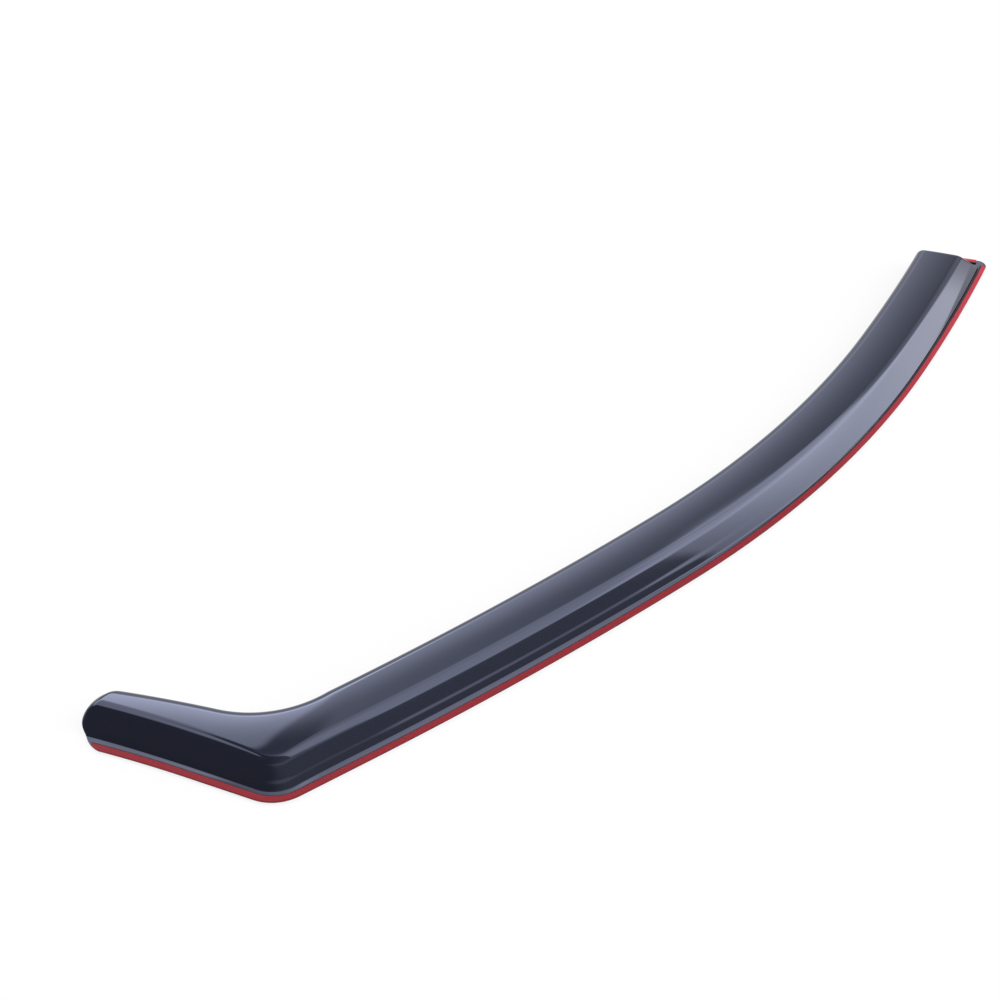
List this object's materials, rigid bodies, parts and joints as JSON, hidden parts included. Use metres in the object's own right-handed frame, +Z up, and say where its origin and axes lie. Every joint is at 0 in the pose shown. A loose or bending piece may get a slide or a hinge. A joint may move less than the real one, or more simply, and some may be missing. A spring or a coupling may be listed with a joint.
{
  "type": "window rain deflector",
  "caption": "Smoke-tinted moulded rain deflector for a front door window, with a flat flange and foam tape under a red release liner.",
  "frame": {"origin": "on the flange's underside, half way across its flat, where the arm starts after the front corner", "axes": "+Z up, out of the hood's outer face; +X along the arm towards the rear end; +Y across, from the flange towards the free edge"},
  "size_m": [1.1124, 0.2041, 0.0281],
  "materials": {
    "smoke_plastic": "polished dark smoke acrylic",
    "foam": "closed-cell foam tape",
    "red_film": "satin red release film"
  },
  "bodies": {
    "root": {"visor": "smoke_plastic", "long_tape": "foam", "long_tape_liner": "red_film", "rear_tape": "foam", "rear_tape_liner": "red_film"}
  },
  "joints": []
}
